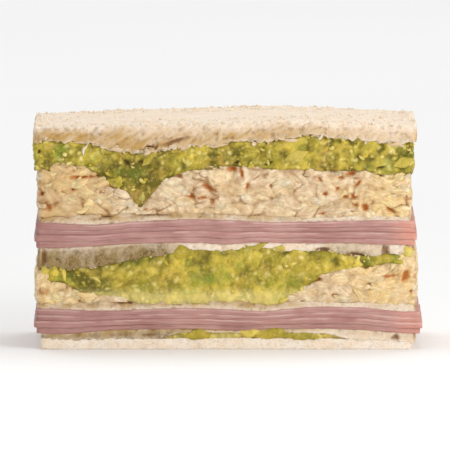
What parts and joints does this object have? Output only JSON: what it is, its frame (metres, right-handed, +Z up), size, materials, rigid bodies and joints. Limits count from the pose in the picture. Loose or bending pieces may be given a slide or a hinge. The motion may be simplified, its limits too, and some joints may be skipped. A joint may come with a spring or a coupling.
{
  "type": "chicken and avocado sandwich",
  "caption": "Crustless layered sandwich half, cut straight down, with thin white bread, mashed avocado, pulled chicken and stacks of sliced ham, for tables, trays and food displays.",
  "frame": {"origin": "centre of the bounding box's bottom, on the surface that the sandwich rests on", "axes": "+Z up through the layers, +X along the long cut face, +Y from the front cut to the back cut"},
  "size_m": [0.1136, 0.0568, 0.0664],
  "materials": {
    "bread": "soft white sandwich bread, matt, fine open crumb, pressed thin",
    "avocado": "mashed ripe avocado, yellow-green, moist, lumpy",
    "chicken": "pulled cooked chicken, cream to pale golden, fibrous, slightly moist",
    "ham": "thin sliced cooked ham, dusky pink, smooth and moist"
  },
  "bodies": {
    "root": {"bread_bottom": "bread", "avocado_smear": "avocado", "bread_fifth": "bread", "ham_lower_slice_1": "ham", "ham_lower_slice_2": "ham", "ham_lower_slice_3": "ham", "ham_lower_slice_4": "ham", "bread_fourth": "bread", "chicken_lower_left": "chicken", "chicken_lower_right": "chicken", "avocado_lower": "avocado", "bread_third": "bread", "ham_upper_slice_1": "ham", "ham_upper_slice_2": "ham", "ham_upper_slice_3": "ham", "ham_upper_slice_4": "ham", "bread_second": "bread", "chicken_upper": "chicken", "avocado_upper": "avocado", "bread_top": "bread"}
  },
  "joints": []
}
